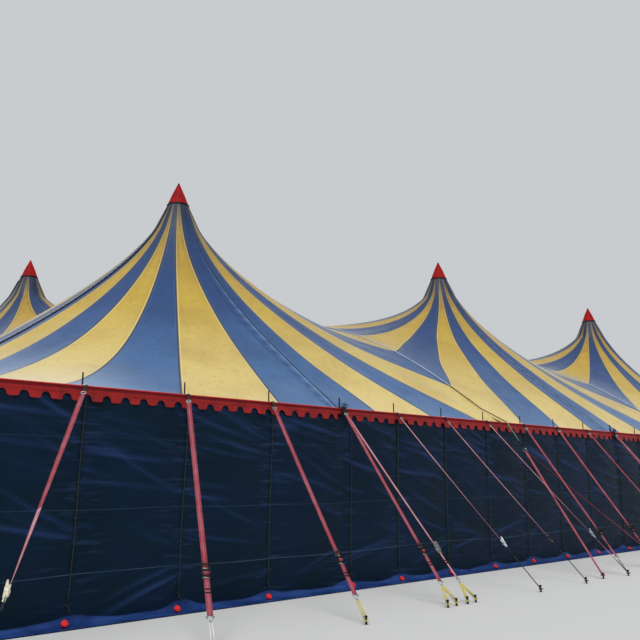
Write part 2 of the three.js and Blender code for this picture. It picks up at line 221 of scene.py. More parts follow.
def wall_look():
    """Navy cloth with a painted bluer highlight on the crests of its folds and on the creases near the poles,
    with thin welded seams and a lighter skirt.
    """
    look = Look("navy cloth", 0.5, 0.0, 0.09)
    ramp, noise, times, attribute = look.ramp, look.noise, look.times, look.attribute
    height = look.axis("Z")
    near_pole = ramp(attribute("seam"), 0.04, 0.6, 1.0, 0.1)
    creases = times(ramp(noise(1.5, (1, 1, 10), 3, 0.6), 0.56, 0.68), near_pole)
    layers = [
        (ramp(noise(0.8, detail=5), 0.4, 0.75), (8, 29, 54)),
        # Painted highlights: a lighter blue on the creases near the poles, which also bump the cloth, and a
        # brighter blue on the crests of the folds
        (times(creases, 0.25), (54, 74, 112)),
        (ramp(attribute("crest"), 0.0, 1.0, 0.0, 0.85), (40, 63, 112)),
    ]
    for middle, strength in WALL_SEAMS:
        wander = ramp(noise(0.35, detail=1), 0.2, 0.8, middle - 0.03, middle + 0.03)
        away = look.calc("ABSOLUTE", look.calc("SUBTRACT", height, wander))
        faint = times(ramp(noise(0.9), 0.35, 0.6, 0.4, 1.0), strength)
        layers.append((times(ramp(away, 0.003, 0.008, 1.0, 0.0), faint), (74, 94, 126)))
    skirt = look.mix(ramp(noise(2), 0.4, 0.6), (20, 42, 88), (34, 60, 114))
    layers.append((ramp(attribute("skirt"), 0.45, 0.6), skirt))
    look.fill(look.shader, {"Roughness": ramp(noise(3.5, (1, 1, 2), 5), 0.3, 0.7, 0.42, 0.58)})
    return look.paint((4, 25, 40), layers, (creases, 0.5, 0.012), (noise(24, (1, 1, 1.5)), 0.12, 0.006))


def strap_look(name, tone, worn):
    look = Look(name, 0.8, 0.0, 0.15)
    patches = look.ramp(look.noise(6, detail=5), 0.35, 0.75, 0.0, 0.7)
    middle = look.ramp(look.attribute("seam"), 0.006, 0.011, 0.6, 0.0)
    return look.paint(tone, ((patches, worn), (middle, worn)), (look.noise(400, detail=1), 0.4, 0.001))


def plain_look(name, tone, second, rough, specular, metal=0.0, scale=20, strength=0.2, distance=0.002):
    look = Look(name, rough, metal, specular)
    patches = look.noise(scale, detail=4)
    return look.paint(tone, [(look.ramp(patches, 0.4, 0.75), second)], (patches, strength, distance))


# The last colour of each stripe is a painted reflection of the sky, used toward the ends of the tent
BLUE = stripe_look(
    "blue stripe", (33, 64, 111), (64, 103, 148), (20, 40, 74), (104, 120, 152), (62, 92, 136),
    (160, 180, 208))
YELLOW = stripe_look(
    "yellow stripe", (177, 150, 60), (202, 183, 117), (132, 92, 26), (212, 186, 140), (222, 206, 158),
    (230, 220, 184))
NAVY = wall_look()
STRAP = strap_look("red webbing", (126, 44, 54), (158, 92, 102))
# A paler copy of the red webbing: a painted highlight for straps that turn their face to the sky or are seen
# edge-on in the light
PALE_STRAP = strap_look("webbing with painted highlight", (158, 92, 100), (196, 158, 164))
RED, CAP_RED, DARK_RED, HIGHLIT_ROLL_RED, TAB_RED, PLATED, STEEL, DARK, BLACK = (plain_look(*row) for row in (
    ("red cloth", (150, 28, 28), (108, 22, 26), 0.5, 0.2, 0.0, 6, 0.2, 0.006),
    ("red cap cloth", (152, 16, 18), (108, 14, 20), 0.6, 0.08, 0.0, 5, 0.2, 0.006),
    ("shaded red cloth", (104, 18, 22), (76, 14, 20), 0.6, 0.1, 0.0, 6, 0.2, 0.006),
    ("red edge with painted highlight", (184, 30, 26), (150, 26, 26), 0.5, 0.2, 0.0, 8),
    ("red tab", (206, 44, 40), (150, 34, 40), 0.6, 0.1, 0.0, 30),
    ("plated steel", (224, 214, 190), (170, 162, 140), 0.4, 0.4, 0.5),
    ("galvanised steel", (170, 174, 176), (120, 124, 128), 0.38, 0.4, 0.85),
    ("dark iron", (24, 24, 26), (52, 44, 40), 0.55, 0.25, 0.2),
    ("black paint", (14, 14, 16), (26, 26, 28), 0.5, 0.15),
))
ROPE, GREEN_ROPE, YELLOW_ROPE, PALE_ROPE, BROWN_ROPE, WHITE_ROPE = (
    plain_look(f"{kind} rope", tone, second, rough, specular, 0.0, scale, 0.6, 0.003)
    for kind, tone, second, rough, specular, scale in (
        ("dark", (34, 38, 32), (60, 62, 50), 0.85, 0.2, 120),
        ("green", (120, 136, 96), (70, 84, 62), 0.85, 0.4, 120),
        ("yellow", (196, 186, 84), (150, 140, 66), 0.8, 0.4, 120),
        ("weathered", (178, 188, 206), (136, 146, 166), 0.85, 0.4, 60),
        ("brown", (118, 98, 64), (84, 70, 48), 0.85, 0.4, 60),
        ("white", (214, 212, 204), (160, 158, 150), 0.85, 0.4, 120),
    ))

# Meshes gathered from simple shapes

# What the looks read at each point, with the value where a shape gives none. On the laced flaps the skirt
# mark carries a painted highlight; the last mark is a share of painted light: a highlight on the crests of
# the wall folds, and shade in the dimples of the laced flaps.
MARKS = {"seam": 1.0, "skirt": 0.0, "crest": 0.0}
ACROSS, UPRIGHT = (1, 0, 0), (0, 1, 0)  # along a side and out of it; each also tells a sweep what is up


class Build:
    """Gathers vertices and faces, each face with its material and smoothing, then makes one object."""

    def __init__(self):
        self.points, self.faces, self.looks, self.smooth = [], [], [], []
        self.marks = {name: [] for name in MARKS}
        self.count = 0

    def add(self, points, faces, look, smooth=True, **marks):
        points = np.asarray(points, float).reshape(-1, 3)
        self.points.append(points)
        self.faces.extend([int(i) + self.count for i in face] for face in faces)
        self.looks.extend(look if isinstance(look, np.ndarray) else [LOOKS.index(look)] * len(faces))
        self.smooth.extend([smooth] * len(faces))
        for name, usual in MARKS.items():
            self.marks[name].append(np.reshape(marks.get(name, np.full(len(points), usual)), -1))
        self.count += len(points)

    def make(self, name, slot, *nodes, turn=0.0):
        points = np.concatenate(self.points)
        if turn:
            c, s = math.cos(turn), math.sin(turn)
            points = points @ np.array([[c, s, 0], [-s, c, 0], [0, 0, 1]])
        mesh = bpy.data.meshes.new(name)
        mesh.from_pydata(points.tolist(), [], self.faces)
        used = sorted(set(self.looks))
        for index in used:
            mesh.materials.append(LOOKS[index])
        places = {index: place for place, index in enumerate(used)}
        mesh.polygons.foreach_set("material_index", [places[i] for i in self.looks])
        mesh.polygons.foreach_set("use_smooth", self.smooth)
        for mark, values in self.marks.items():
            layer = mesh.attributes.new(mark, "FLOAT", "POINT")
            layer.data.foreach_set("value", np.concatenate(values))
        mesh.update()
        obj = scene_object(name, mesh)
        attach(obj, "root")
        if nodes:
            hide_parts(*nodes)
        return obj


def grid_faces(rows, columns, flip=False):
    i, j = np.meshgrid(np.arange(rows - 1), np.arange(columns - 1), indexing="ij")
    a = (i * columns + j).ravel()
    quads = np.stack([a, a + 1, a + columns + 1, a + columns], axis=1)
    return quads[:, ::-1] if flip else quads


def grid(build, x, y, z, look, flip, kept=slice(None), **marks):
    """Adds a grid of points; x, y, z and the marks have its shape or stretch to it."""
    points = np.stack(np.broadcast_arrays(x, y, z), axis=2)
    rows, columns = points.shape[:2]
    marks = {name: np.broadcast_to(values, (rows, columns)) for name, values in marks.items()}
    build.add(points, grid_faces(rows, columns, flip)[kept], look, **marks)


def along(path, up):
    path = np.asarray(path, float)
    tangent = np.gradient(path, axis=0)
    tangent /= np.linalg.norm(tangent, axis=1, keepdims=True)
    side = np.cross(tangent, np.asarray(up, float))
    side /= np.linalg.norm(side, axis=1, keepdims=True)
    return path, side, np.cross(side, tangent)


def ring_faces(rings, k):
    """The faces between rings of k points each."""
    return [
        [i * k + j, i * k + (j + 1) % k, (i + 1) * k + (j + 1) % k, (i + 1) * k + j]
        for i in range(rings - 1) for j in range(k)]


def sweep(build, path, section, look, up=(0, 0, 1), scale=1.0, twist=0.0, seam=1.0, smooth=True):
    """Draws a closed section, points across and up, along a path and caps both ends."""
    path, side, top = along(path, up)
    section = np.asarray(section, float)
    if np.any(twist):
        c, s = np.cos(twist)[:, None], np.sin(twist)[:, None]
        side, top = side * c + top * s, top * c - side * s
    scale = np.broadcast_to(scale, len(path))[:, None, None]
    n, k = len(path), len(section)
    across, upward = section[None, :, 0, None], section[None, :, 1, None]
    points = path[:, None, :] + scale * across * side[:, None, :] + scale * upward * top[:, None, :]
    faces = ring_faces(n, k) + [list(range(k))[::-1], [(n - 1) * k + j for j in range(k)]]
    build.add(points, faces, look, smooth, seam=np.tile(np.broadcast_to(seam, k), n))


def tube(build, path, radius, look, sides=8, up=(0, 0, 1), scale=1.0):
    angles = np.arange(sides) * 2 * np.pi / sides
    sweep(build, path, np.stack([radius * np.cos(angles), radius * np.sin(angles)], axis=1), look, up, scale)


def post(build, x, y, heights, radius, look, sides, scale=1.0):
    """An upright round bar through the given heights."""
    tube(build, [(x, y, z) for z in heights], radius, look, sides, UPRIGHT, scale)


def line(start, end, steps=2):
    start, end = np.asarray(start, float), np.asarray(end, float)
    return start + (end - start) * np.linspace(0, 1, steps)[:, None]


def loop(build, centre, across, upward, radius, wire, look, sides=6, steps=16, tall=1.0):
    angles = np.linspace(0, 2 * np.pi, steps + 1)
    across, upward = np.asarray(across, float), np.asarray(upward, float)
    path = (
        np.asarray(centre, float)
        + radius * np.cos(angles)[:, None] * across
        + radius * tall * np.sin(angles)[:, None] * upward
    )
    tube(build, path, wire, look, sides, np.cross(across, upward))


def block(build, centre, axes, size, look):
    axes = np.asarray(axes, float)
    corners = np.array([[x, y, z] for x in (-0.5, 0.5) for y in (-0.5, 0.5) for z in (-0.5, 0.5)])
    points = np.asarray(centre, float) + (corners * np.asarray(size)) @ axes
    faces = [[0, 1, 3, 2], [4, 6, 7, 5], [0, 4, 5, 1], [2, 3, 7, 6], [0, 2, 6, 4], [1, 5, 7, 3]]
    build.add(points, faces, look, False)


def unit(vector):
    vector = np.asarray(vector, float)
    return vector / np.linalg.norm(vector)


# The membrane, relaxed on a grid over one quarter of the tent


def valley_height(y):
    return EAVE + VALLEY_RISE * np.tanh((CANOPY_HALF_DEPTH - np.abs(y)) / VALLEY_REACH)


def king_distance(x, y):
    return np.min([np.hypot(x - k, np.abs(y) - ROW_HALF) for k in KING_XS], axis=0)


# How steeply the cloth falls from a king pole: far out, and what the flank and the neck of the peak add
FAR_SLOPE, FLANK_SLOPE, NECK_SLOPE = 0.42, 1.65, 1.24
FLANK_REACH, NECK_REACH = 2.4, 0.87


def tension(x, y):
    r = np.maximum(king_distance(x, y), STEEP_CROWN)
    flank, neck = np.exp(-((r / FLANK_REACH) ** 1.2)), np.exp(-((r / NECK_REACH) ** 2))
    return 1 / (r * (FAR_SLOPE + FLANK_SLOPE * flank + NECK_SLOPE * neck))


def relaxed():
    columns, rows, sweeps, push = 342, 202, 900, 1.97
    xs, ys = np.linspace(0, CANOPY_HALF_LENGTH, columns + 1), np.linspace(0, CANOPY_HALF_DEPTH, rows + 1)
    dx, dy = xs[1], ys[1]
    x, y = np.meshgrid(xs, ys, indexing="ij")
    z = np.full(x.shape, EAVE + 2.0)
    held = np.zeros(x.shape, bool)
    z[-1], z[:, -1], held[-1], held[:, -1] = EAVE, EAVE, True, True
    valley = int(round(BAY / 2 / dx))
    z[valley, :-1], held[valley] = valley_height(ys[:-1]), True
    near = king_distance(x, y)
    crown = near <= STEEP_CROWN
    z[crown] = CROWN - CROWN_SLOPE * (near[crown] - RING)
    held |= crown
    east = tension(x + dx / 2, y) / dx**2
    west = tension(np.abs(x - dx / 2), y) / dx**2
    north = tension(x, y + dy / 2) / dy**2
    south = tension(x, np.abs(y - dy / 2)) / dy**2
    total = east + west + north + south
    i, j = np.meshgrid(np.arange(columns + 1), np.arange(rows + 1), indexing="ij")
    for _ in range(sweeps):
        for colour in (0, 1):
            padded = np.pad(z, ((1, 1), (1, 1)), mode="reflect")
            pull = (
                east * padded[2:, 1:-1] + west * padded[:-2, 1:-1]
                + north * padded[1:-1, 2:] + south * padded[1:-1, :-2]
            ) / total
            free = ~held & ((i + j) % 2 == colour)
            z[free] += push * (pull[free] - z[free])
    return z, dx, dy


MEMBRANE, STEP_X, STEP_Y = relaxed()


def eased(value):
    value = np.clip(value, 0, 1)
    return value * value * (3 - 2 * value)


# The cloth stands fuller on the flanks of the corner king poles: by how much, where most, and how far out
FULL_BY, FULL_MOST, FULL_REACH = 0.1, 1.2, 5.1


def fullness(x, y):
    r = np.maximum(np.hypot(x - BAY, y - ROW_HALF), STEEP_CROWN)
    t = (r - STEEP_CROWN) / FULL_MOST
    flank = eased((1 - (y - ROW_HALF) / r) / 0.36)
    return FULL_BY * t * np.exp(1 - t) * flank * eased((FULL_REACH - r) / 2.2)


def sail(x, y):
    x, y = np.abs(np.asarray(x, float)), np.abs(np.asarray(y, float))
    a, b = np.minimum(x, CANOPY_HALF_LENGTH) / STEP_X, np.minimum(y, CANOPY_HALF_DEPTH) / STEP_Y
    i = np.minimum(a.astype(int), MEMBRANE.shape[0] - 2)
    j = np.minimum(b.astype(int), MEMBRANE.shape[1] - 2)
    a, b = a - i, b - j
    z = (MEMBRANE[i, j] * (1 - b) + MEMBRANE[i, j + 1] * b) * (1 - a)
    z = z + (MEMBRANE[i + 1, j] * (1 - b) + MEMBRANE[i + 1, j + 1] * b) * a + fullness(x, y)
    r = king_distance(x, y)
    return np.where(r <= STEEP_CROWN, CROWN - CROWN_SLOPE * (r - RING), z)


# Canopy sections: rays from each king pole lie on the edges of its stripes

STRIPE_EDGES = np.radians([8.1, 24.4, 37, 51, 65, 79, 93, 107, 122, 137, 152, 171])
END_STRIPE_EDGES = np.radians([10.8, 25.2, 37.2, 51, 65, 82, 106, 117, 128.5, 140.5, 154, 171])
CANOPY_EDGE = 0.03  # how far the cloth laps out over the wall line
END_WIDTH = END_RUN + CANOPY_EDGE
CROWN_TURN = math.radians(11)  # the laced stripes grow wider round the head ring
HEM_BEND = 0.28  # beside the corner king poles the stripes turn outward near the hem
# How far the cloth of a middle king pole stands to one side: its stripes, and the peak itself
STRIPE_SLIDE, SAIL_SLIDE = 0.33, 0.12
RAY_STEP = math.radians(2.4)
RADIAL_ROWS = 54
FOLD_WAVES = ((17, 0.4, 0.8), (29, 2.1, 1.7), (43, 4.0, -1.2), (61, 1.0, 2.2))  # count, phase and bend


def canopy_detail(theta, r, reach, fraction):
    """Small height changes: pleats under the ring, panels that sag between their seams, soft radial folds."""
    pleats = 0.014 * np.exp(-(r - RING) / 0.45) * np.cos(4 * np.pi * fraction)
    sag = -0.016 * np.sin(np.pi * fraction) * np.clip((r - 0.8) / 2.0, 0, 1)
    share = r / reach
    folds = sum(
        np.sin(count * theta + phase + bend * share * 2) * (0.0075 - 0.0012 * k)
        for k, (count, phase, bend) in enumerate(FOLD_WAVES))
    folds *= np.clip((share - 0.15) / 0.35, 0, 1) * np.clip((1 - share) / 0.08, 0, 1)
    return pleats + sag + folds


def stripe_edges(end):
    if not end:
        return STRIPE_EDGES
    stretch = END_RUN / (BAY / 2)
    return np.arctan2(np.sin(END_STRIPE_EDGES) * stretch, np.cos(END_STRIPE_EDGES))


def gore_share(theta, edges):
    """How far across its stripe a direction lies, from 0 to 1."""
    bounds = np.concatenate([[-edges[0]], edges, [2 * math.pi - edges[-1]]])
    gore = np.searchsorted(bounds, theta + 1e-9) - 1
    return (theta - bounds[gore]) / (bounds[gore + 1] - bounds[gore])


def cloth_reach(theta, end):
    """How far the cloth runs from its king pole in a direction."""
    out, across = np.cos(theta), np.sin(theta)
    limit = np.where(out > 0, SIDE_RUN + CANOPY_EDGE, ROW_HALF)
    wide = END_WIDTH if end else BAY / 2
    return np.minimum(wide / np.maximum(across, 1e-9), limit / np.maximum(np.abs(out), 1e-9))


def cloth_detail(out, across, end):
    """Small height changes of the cloth at a run out to the eave and a run across from its king pole."""
    theta, r = np.arctan2(np.abs(across), out), np.hypot(out, across)
    return canopy_detail(theta, r, cloth_reach(theta, end), gore_share(theta, stripe_edges(end)))


def slide(king_x, king_y, r, share):
    """How far the cloth of a middle king pole stands to one side, as a share of its largest shift."""
    if king_x:
        return np.zeros_like(r * share)
    return math.copysign(1, king_y) * eased((r - 0.3) / 2.4) * eased((1 - share) / 0.4)


def add_patch(build, king_x, king_y, side):
    """Half of the cloth round a king pole, out to the eave, the valley and the middle line of the tent."""
    front, end = math.copysign(1, king_y), king_x * side > 0
    edges, width = stripe_edges(end), END_WIDTH if end else BAY / 2
    corners = [math.atan2(width, SIDE_RUN + CANOPY_EDGE), math.pi - math.atan2(width, ROW_HALF)]
    marks = np.sort(np.concatenate([[0, math.pi], edges, corners]))
    angles = [np.array([0.0])]
    for low, high in zip(marks[:-1], marks[1:]):
        steps = max(1, math.ceil((high - low) / RAY_STEP))
        angles.append(low + (high - low) * np.arange(1, steps + 1) / steps)
    theta = np.concatenate(angles)
    reach = cloth_reach(theta, end)
    t = np.linspace(0, 1, RADIAL_ROWS) ** 1.25
    r = RING + (reach[:, None] - RING) * t[None, :]
    pull = CROWN_TURN * np.exp(-(r - RING) / 0.9)
    lean = np.tanh(np.minimum(theta, math.pi - theta) / 0.14) * (1 - theta / (math.pi / 2))
    turned = theta[:, None] + pull * lean[:, None]
    x = king_x + side * r * np.sin(turned)
    y = king_y + front * r * np.cos(turned)
    if king_x and not end:
        near = eased((t - 0.62) / 0.38)[None, :] ** 1.5
        x += side * HEM_BEND * near * (np.clip(theta / 0.14, 0, 1) * eased((1.0 - theta) / 0.35))[:, None]
    shift = slide(king_x, king_y, r, t[None, :])
    x += STRIPE_SLIDE * shift
    detail = canopy_detail(theta[:, None], r, reach[:, None], gore_share(theta, edges)[:, None])
    z = np.maximum(sail(x - SAIL_SLIDE * shift, y) + detail, EAVE + 0.004)
    nearest = np.min(np.abs(theta[:, None] - edges[None, :]), axis=1)
    stripe = np.searchsorted(edges, (theta[:-1] + theta[1:]) / 2) % 2
    tones = np.repeat(np.where(stripe, LOOKS.index(YELLOW), LOOKS.index(BLUE)), RADIAL_ROWS - 1)
    grid(build, x, y, z, tones, side * front < 0, seam=r * nearest[:, None])


def make_canopies():
    """The four sections, each from patches given by the place of a king pole and the side it lies on."""
    made = {}
    for name, patches in (
        ("end_left", [(-BAY, -1)]), ("bay_left", [(-BAY, 1), (0, -1)]),
        ("bay_right", [(0, 1), (BAY, -1)]), ("end_right", [(BAY, 1)]),
    ):
        build = Build()
        for king_x, side in patches:
            for king_y in (-ROW_HALF, ROW_HALF):
                add_patch(build, king_x, king_y, side)
        made[name] = build.make(f"cloth_{name}", "canopy_cloth", f"canopy_{name}")
    return made


canopies = make_canopies()

# Stations of the side poles, each with the leans and the style of its guys. A big pole's style is None.
# A style: webbing, width, twist, ratchet, whether a short strap follows the ratchet, rope, number of ropes

LONG_RED = (STRAP, 0.072, 0.15, DARK, True, YELLOW_ROPE, 1)
WHITE_TAIL = (STRAP, 0.072, 0.1, DARK, True, WHITE_ROPE, 1)
TWISTED = (STRAP, 0.07, -1.2, PLATED, False, ROPE, 1)
THIN_PALE = (PALE_STRAP, 0.042, 0.5, STEEL, False, ROPE, 1)
THIN_DARK = (PALE_STRAP, 0.04, 0.3, DARK, False, ROPE, 1)
SHORT_PALE = (PALE_STRAP, 0.05, 0.25, STEEL, True, ROPE, 1)
DEEP_RED = (STRAP, 0.058, 0.2, DARK, True, ROPE, 1)
BIG_RED = (STRAP, 0.072, 0.1, DARK, True, YELLOW_ROPE, 2)
BIG_PALE = (PALE_STRAP, 0.052, 0.2, STEEL, True, YELLOW_ROPE, 2)
END_STYLES = (LONG_RED, WHITE_TAIL, TWISTED, LONG_RED)
BAY_STYLES = (THIN_PALE, THIN_DARK, SHORT_PALE, DEEP_RED, DEEP_RED, DEEP_RED)
BIG_STYLES = (BIG_RED, BIG_PALE)


def between(start, end, count):
    """Places that divide a run evenly, without its ends."""
    return [start + (end - start) * (k + 1) / (count + 1) for k in range(count)]


def long_stations():
    found = []
    for side in (-1, 1):
        for k, s in enumerate(between(side * BAY, side * HALF_LENGTH, 3)):
            found.append((s, [side * END_LEANS[k]], END_STYLES[k]))
        found.append((side * (HALF_LENGTH - 0.05), [side * END_LEANS[3]], END_STYLES[3]))
    found += [(s, list(BIG_LEANS), None) for s in KING_XS]
    for start in (-BAY, 0.0):
        for k, s in enumerate(between(start, start + BAY, 6)):
            found.append((s, [BAY_LEANS[k]], BAY_STYLES[k]))
    return sorted(found, key=lambda item: item[0])


def end_stations():
    found = [(s, [0.0], END_STYLES[k % 2]) for k, s in enumerate(between(-ROW_HALF, ROW_HALF, 5))]
    for side in (-1, 1):
        spots = between(side * ROW_HALF, side * HALF_DEPTH, 3)
        found += [(s, [0.0], END_STYLES[k]) for k, s in enumerate(spots)]
        found.append((side * ROW_HALF, list(BIG_LEANS), None))
    return sorted(found, key=lambda item: item[0])


LONG_STATIONS, END_STATIONS = long_stations(), end_stations()
SIDES = (
    ("front", HALF_DEPTH, LONG_STATIONS, HALF_LENGTH, SIDE_REACH, BIG_REACH, 0.0),
    ("back", HALF_DEPTH, LONG_STATIONS, HALF_LENGTH, SIDE_REACH, BIG_REACH, math.pi),
    ("left", HALF_LENGTH, END_STATIONS, HALF_DEPTH, END_REACH, END_BIG_REACH, -math.pi / 2),
    ("right", HALF_LENGTH, END_STATIONS, HALF_DEPTH, END_REACH, END_BIG_REACH, math.pi / 2),
)

# Walls: cloth that hangs from the eave, folds that fan out from the poles, and a skirt lying on the ground

WALL_TOP = EAVE - 0.014
WALL_OUT = 0.012
FLOOR = 0.014
SKIRT_REACH = 0.33
WALL_STEP = 0.06
HANG_ROWS, ARC_ROWS, FLAT_ROWS = 98, 12, 6  # down the wall, round its foot and out along the skirt
FOLDS, LARGE_FOLDS = 46, 18  # between two poles


def wall_folds(s, z, poles, seed):
    """Outward push of the cloth at s along the wall and height z, and the share of the painted highlight on
    its folds.
    """
    own = np.random.default_rng(seed)
    push, light = np.zeros_like(s), np.zeros_like(s)
    for left, right in zip(poles[:-1], poles[1:]):
        gap = right - left
        inside = (s >= left) & (s <= right)
        if not inside.any() or gap < 0.3:
            continue
        u, h = s[inside], z[inside]
        here = 0.03 * np.sin(np.pi * (u - left) / gap) * np.clip(h / 2.6, 0.2, 1) ** 0.5
        painted_shine = np.zeros_like(u)
        for k in range(FOLDS):
            small = k >= LARGE_FOLDS
            away, way = (u - left, -1) if own.random() < 0.5 else (right - u, 1)
            at = own.uniform(2.2, 3.05) if own.random() < 0.35 else own.uniform(0.35, 2.9)
            slope = own.uniform(0.12, 0.42) * way * (-0.8 if at < 0.75 else 1)
            long = own.uniform(0.12, 0.32) if small else own.uniform(0.3, 1.0) * gap
            wide = own.uniform(0.018, 0.026) if small else own.uniform(0.022, 0.042)
            deep = own.uniform(0.002, 0.006) if small else own.uniform(0.003, 0.02)
            share = np.clip(away / long, 0, 1)
            centre = at + slope * away * (1.0 + 0.35 * way * share)
            body = (0.3 + 0.7 * np.clip(share / 0.3, 0, 1)) * (1 - share) ** 0.7
            across = (h - centre) / (wide * (0.6 + 0.8 * share))
            here += deep * body * (np.exp(-(across**2)) - 0.4 * np.exp(-((across + 1.5) ** 2)))
            # How strongly this fold gets the painted highlight on its upper face
            bright = 0.7 * own.random() if small else own.uniform(0.15, 1) ** 1.5 * min(1, deep / 0.012)
            painted_shine += bright * body * np.exp(-(((across - 0.3) / 0.9) ** 2))
        push[inside], light[inside] = here, np.clip(painted_shine, 0, 1)
    return push, light


def wall_sheet(name, depth, start, end, poles, seed, turn):
    columns = max(2, int(round((end - start) / WALL_STEP)) + 1)
    s = np.linspace(start, end, columns)[:, None]
    pole_gap = np.min(np.abs(s - np.array(poles)), axis=1)[:, None]
    phases = np.random.default_rng(seed + 50).uniform(0, 6.28, 3)
    wave = sum(0.014 * np.sin(s * f + p) for f, p in zip((3.1, 5.3, 8.9), phases))
    curl = 0.055 + 0.09 * np.exp(-((pole_gap / 0.25) ** 2)) + 0.6 * wave
    hang = np.linspace(0, 1, HANG_ROWS)
    arc = np.arange(1, ARC_ROWS + 1) / ARC_ROWS * math.pi / 2
    lie = np.arange(1, FLAT_ROWS + 1) / FLAT_ROWS
    beyond = SKIRT_REACH - 0.004 - WALL_OUT - curl
    out = WALL_OUT + np.concatenate([0 * curl * hang, curl * (1 - np.cos(arc)), curl + beyond * lie], axis=1)
    z = np.concatenate(
        [WALL_TOP + (FLOOR + curl - WALL_TOP) * hang, FLOOR + curl * (1 - np.sin(arc)),
         FLOOR + 0.012 * np.sin(s * 7) ** 2 * np.sin(np.pi * lie)], axis=1)
    push, light = wall_folds(np.broadcast_to(s, z.shape), z, poles, seed)
    push *= np.clip((WALL_TOP - z) / 0.2, 0, 1) * np.clip((z - 0.02) / 0.3, 0, 1)
    push[:, -FLAT_ROWS:] = 0
    skirt = np.zeros_like(z)
    skirt[:, HANG_ROWS:] = 1.0
    skirt[:, HANG_ROWS] = 0.5
    build = Build()
    grid(build, s, -depth - (out + push), z, NAVY, True, seam=pole_gap, skirt=skirt, crest=light)
    return build.make(f"sheet_{name}", "wall_cloth", f"wall_{name}", turn=turn), end - start


def panel_names(side):
    """The panels of a long side from left to right as seen from outside."""
    names = ("end_left", "bay_left", "bay_right", "end_right")
    return names if side == "front" else names[::-1]


def make_walls():
    made = []
    corner = HALF_LENGTH + 0.012
    edges = (-corner, -BAY, 0.0, BAY, corner)
    for name, depth, stations, half, _, _, turn in SIDES:
        poles = sorted({-half, *(s for s, _, _ in stations), half})
        panels = [(name, -half, half)]
        if depth == HALF_DEPTH:
            panels = [(f"{name}_{panel}", *run) for panel, *run in zip(panel_names(name), edges, edges[1:])]
        for panel, start, end in panels:
            made.append(wall_sheet(panel, depth, start, end, poles, 100 + 7 * len(made), turn))
    return made


walls = make_walls()

# Hem band with a rolled top edge, and the valance cut into rounded teeth

# Outward from the wall line and up from the eave: the rolled edge, then the flat band
HEM_PROFILE = (
    (0.028, 0.004), (0.029, 0.014), (0.036, 0.021), (0.045, 0.020), (0.051, 0.012), (0.051, 0.002),
    (0.0455, -0.004), (0.0445, -0.006), (0.0475, -0.014), (0.0492, -0.04), (0.0495, -0.07), (0.0475, -0.09),
)
# Painted light on the hem band, row by row: the brighter red paints a highlight on the outer face of the
# rolled edge, and the shaded red paints shade on the back of the roll, under it and down the top of the band;
# the lowest rows keep the band's own red
HEM_TONES = (DARK_RED,) * 3 + (HIGHLIT_ROLL_RED,) * 2 + (DARK_RED,) * 4 + (RED,) * 2
TOOTH_PITCH = 0.295
TOOTH_COLUMNS = (0.0, 0.07, 0.13, 0.175, 0.205, 0.225, 0.24, 0.27, 0.32, 0.4, 0.5)
HEM_STEP = 0.09
HEM_LAP = 0.012  # how far the valance starts up behind the band
VALANCE_ROWS = 7
POLE_NOTCH = 0.14  # half the width of the notch in the valance at a big pole


def tooth_depth(u):
    """How far the valance reaches down at share u of one tooth and its notch, from 0 to 1."""
    half = abs(((u + 0.5) % 1.0) - 0.5)  # 0 in the middle of a notch, 0.5 in the middle of a tooth
    if half < 0.2:
        return 0.22 + 0.28 * (half / 0.2) ** 2.5
    if half < 0.225:
        return 0.5 + 0.32 * (half - 0.2) / 0.025
    return min(1.0, 0.82 + 0.18 * math.sin(min(1.0, (half - 0.225) / 0.13) * math.pi / 2))


def hem(name, section, depth, start, end, seed, turn):
    count = max(2, int(round((end - start) / HEM_STEP)) + 1)
    s = np.linspace(start, end, count)[:, None]
    sway = 0.003 * np.sin(s * 4.1 + seed) + 0.002 * np.sin(s * 9.7)
    reach, rise = np.array(HEM_PROFILE).T
    out = reach + sway * np.linspace(0, 1, len(reach))
    tones = np.tile([LOOKS.index(look) for look in HEM_TONES], count - 1)
    build = Build()
    grid(build, s, -depth - out, EAVE + rise, tones, True)
    return build.make(f"hem_{name}_{section}", "red_cloth", turn=turn)


def valance(name, section, depth, start, end, gaps, seed, turn, node):
    own = np.random.default_rng(seed)
    teeth = max(1, int(round((end - start) / TOOTH_PITCH)))
    shares = np.array([*TOOTH_COLUMNS, *(1 - u for u in TOOTH_COLUMNS[-2:0:-1])])
    u = np.concatenate([k + shares for k in range(teeth)] + [[teeth]])
    s = start + u * ((end - start) / teeth)
    down = np.array([tooth_depth(x) for x in u]) * own.uniform(0.92, 1.06, teeth + 1)[u.astype(int)]
    fall = np.linspace(0, 1, VALANCE_ROWS) * np.minimum(down, 1.0)[:, None]
    z = HEM_TOP - HEM_HEIGHT + HEM_LAP - fall * (VALANCE_HEIGHT + HEM_LAP)
    curl = own.uniform(-0.002, 0.016, teeth + 1)[np.minimum((u + 0.5).astype(int), teeth)]
    out = np.minimum(0.046 + curl[:, None] * fall**2 + 0.004 * np.sin(s * 13)[:, None] * fall, 0.075)
    middles = (s[:-1] + s[1:]) / 2
    shown = np.all([np.abs(middles - gap) > POLE_NOTCH for gap in gaps], axis=0)
    build = Build()
    grid(build, s[:, None], -depth - out, z, RED, True, kept=np.repeat(shown, VALANCE_ROWS - 1))
    return build.make(f"valance_{name}_{section}", "red_cloth", *node, turn=turn), end - start


